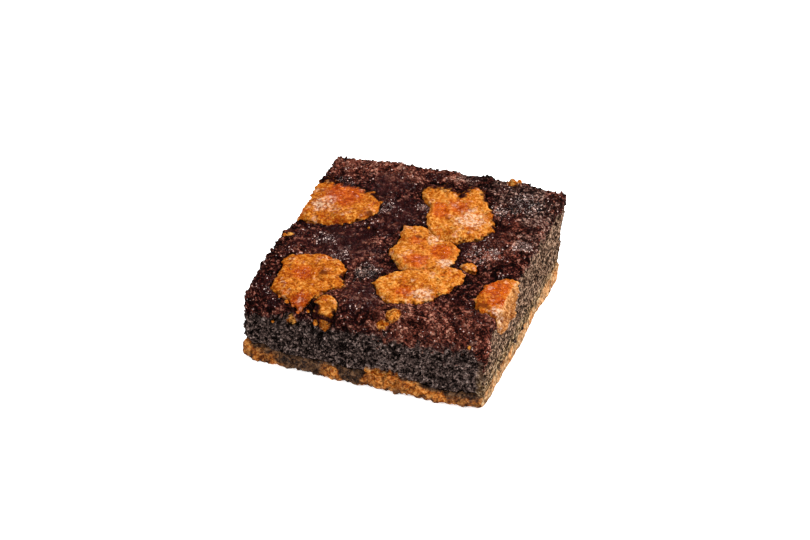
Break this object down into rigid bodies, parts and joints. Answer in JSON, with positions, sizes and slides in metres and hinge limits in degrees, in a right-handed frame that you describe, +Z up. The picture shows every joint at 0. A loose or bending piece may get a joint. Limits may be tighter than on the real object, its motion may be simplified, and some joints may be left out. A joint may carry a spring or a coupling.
{
  "type": "brookie",
  "caption": "Square slice of a tray bake: a dark chocolate brownie layer on a thin cookie base, with golden lumps of cookie dough baked into its top.",
  "frame": {"origin": "middle of the bounding box in plan, on the surface that the slice stands on", "axes": "+X along the front edge to the right, +Y from the front to the back, +Z up, out of the top"},
  "size_m": [0.0728, 0.0748, 0.0318],
  "materials": {
    "brownie": "satin",
    "cookie_base": "matte",
    "cookie_lump": "satin"
  },
  "bodies": {
    "root": {"cookie_base": "cookie_base", "brownie": "brownie", "cookie_lump_front": "cookie_lump", "cookie_lump_centre": "cookie_lump", "cookie_lump_back_right": "cookie_lump", "cookie_lump_back_left": "cookie_lump", "cookie_lump_front_left": "cookie_lump", "cookie_lump_front_edge": "cookie_lump", "cookie_lump_right": "cookie_lump", "cookie_crumb_right": "cookie_lump"}
  },
  "joints": []
}
